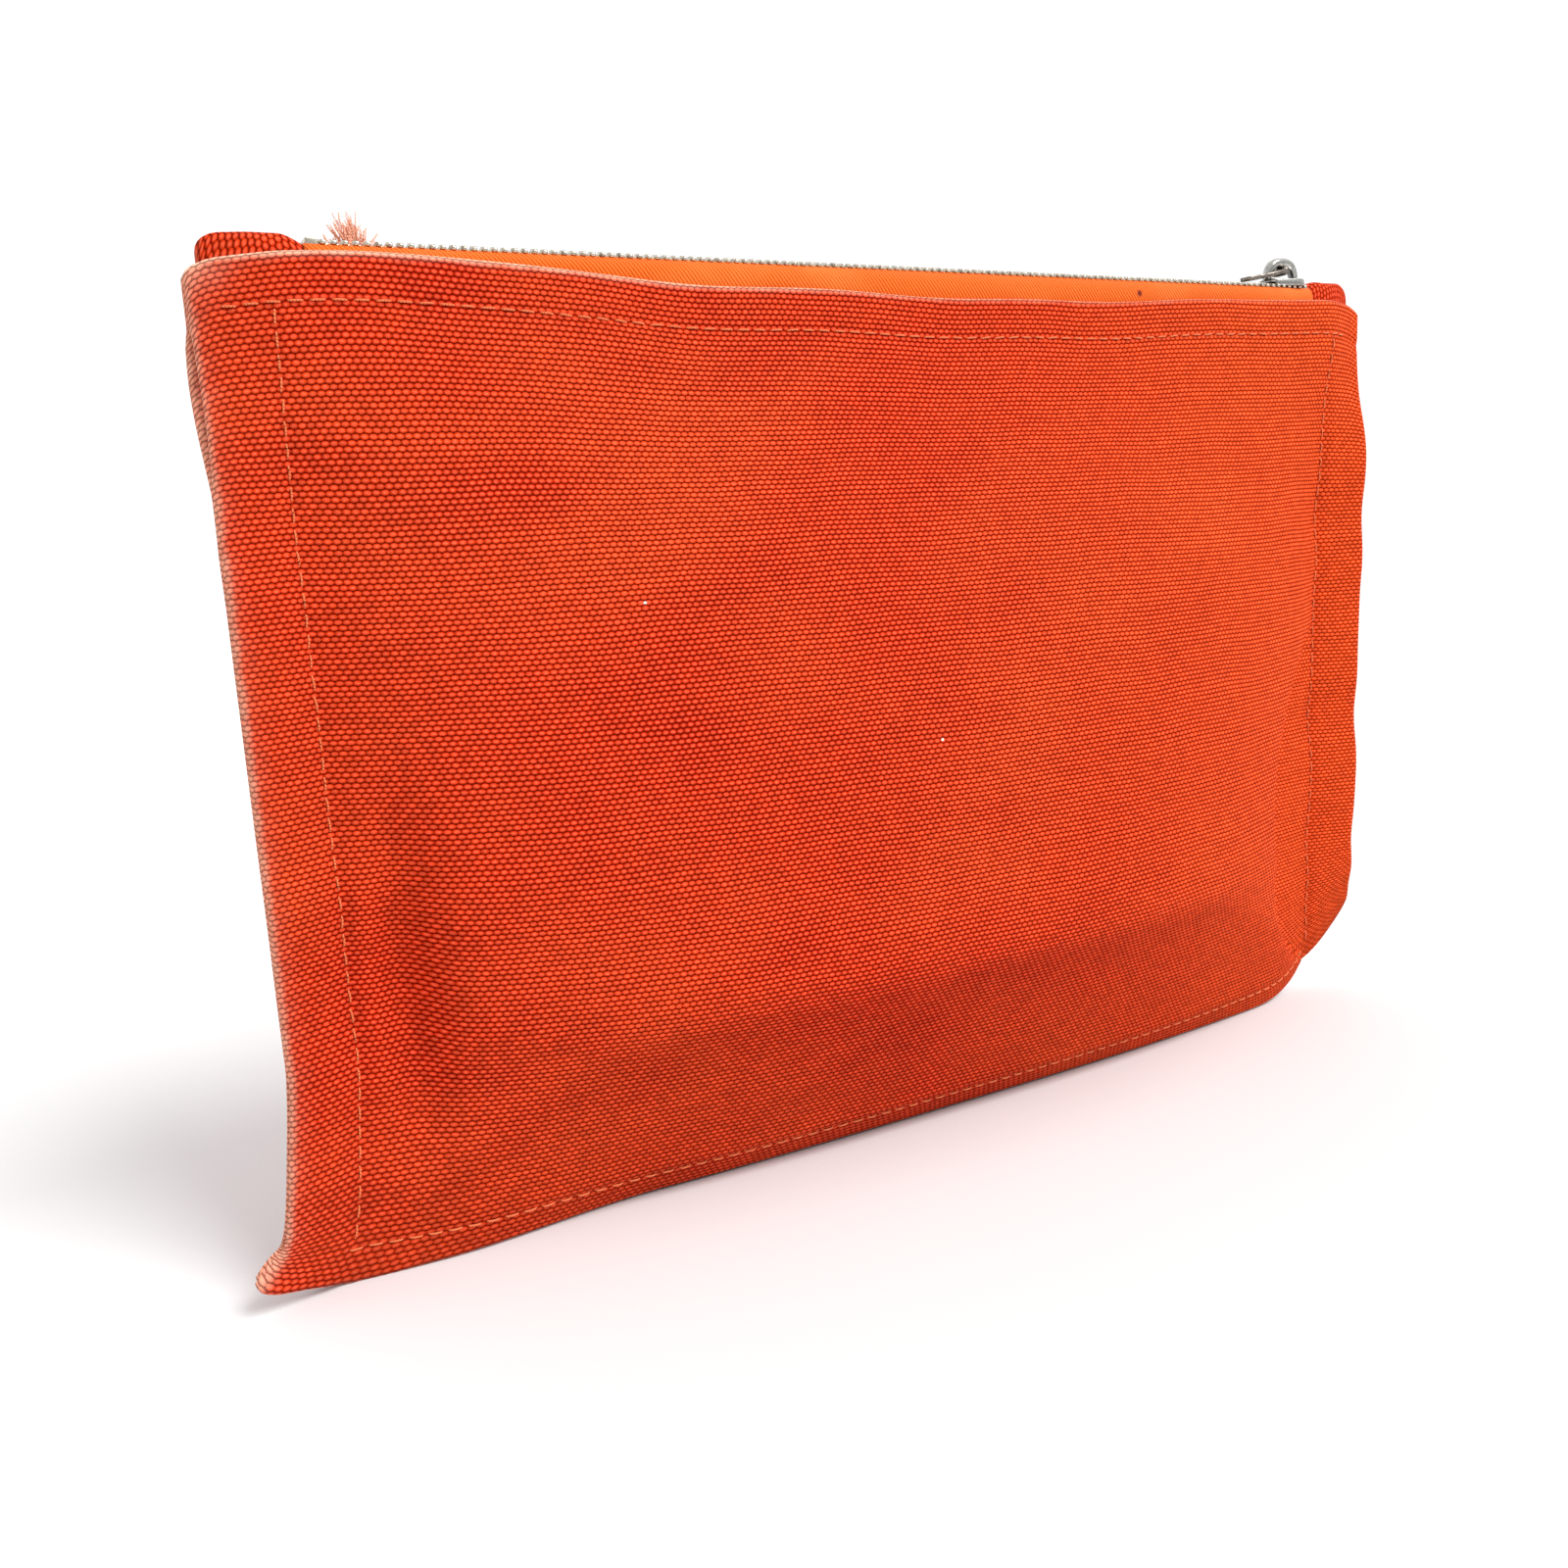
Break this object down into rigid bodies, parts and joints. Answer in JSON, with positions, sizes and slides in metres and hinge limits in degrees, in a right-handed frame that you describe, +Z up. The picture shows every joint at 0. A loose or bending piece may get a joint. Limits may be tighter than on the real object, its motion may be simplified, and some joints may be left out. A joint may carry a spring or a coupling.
{
  "type": "zip pouch",
  "caption": "Flat canvas pouch standing on its base, with a metal zip along its mouth, stitched seam margins, end tabs, and a slider with a pull tab.",
  "frame": {"origin": "middle of the bounding box's bottom face, on the surface that the pouch stands on", "axes": "+X along the zip to the end where the slider rests when the zip is shut, -Y is the front, +Z up"},
  "size_m": [0.285, 0.0571, 0.1945],
  "materials": {
    "canvas": "heavy plain-weave cotton canvas, matt, worn pale along its edges",
    "zip_tape": "twill-woven tape",
    "nickel_teeth": "worn nickel plate",
    "nickel_slider": "polished nickel plate",
    "pull_metal": "polished nickel plate",
    "spring_steel": "bare spring steel",
    "thread": "twisted polyester sewing thread",
    "worn_thread": "frayed cotton"
  },
  "bodies": {
    "pouch": {"front_panel": "canvas", "back_panel": "canvas", "end_tab_left": "canvas", "end_tab_right": "canvas", "zip_tape_front": "zip_tape", "zip_tape_back": "zip_tape", "zip_teeth_front": "nickel_teeth", "zip_teeth_back": "nickel_teeth", "bottom_stop": "nickel_teeth", "top_stops": "nickel_teeth", "hem_stitching_front": "thread", "hem_stitching_back": "thread", "side_stitching_left": "thread", "side_stitching_right": "thread", "bottom_stitching": "thread", "loose_threads": "worn_thread"},
    "slider": {"slider_body": "nickel_slider", "slider_crown": "nickel_slider", "lock_spring": "spring_steel"},
    "pull": {"pull_tab": "pull_metal"}
  },
  "joints": [
    {"name": "zip_slide", "type": "slide", "parent": "pouch", "child": "slider", "axis": [-1, 0, 0], "range_m": [0, 0.222]},
    {"name": "pull_tab_hinge", "type": "hinge", "parent": "slider", "child": "pull", "pos_m": [0.1162, 0, 0.1916], "axis": [0, 1, 0], "range_deg": [0, 150]}
  ]
}
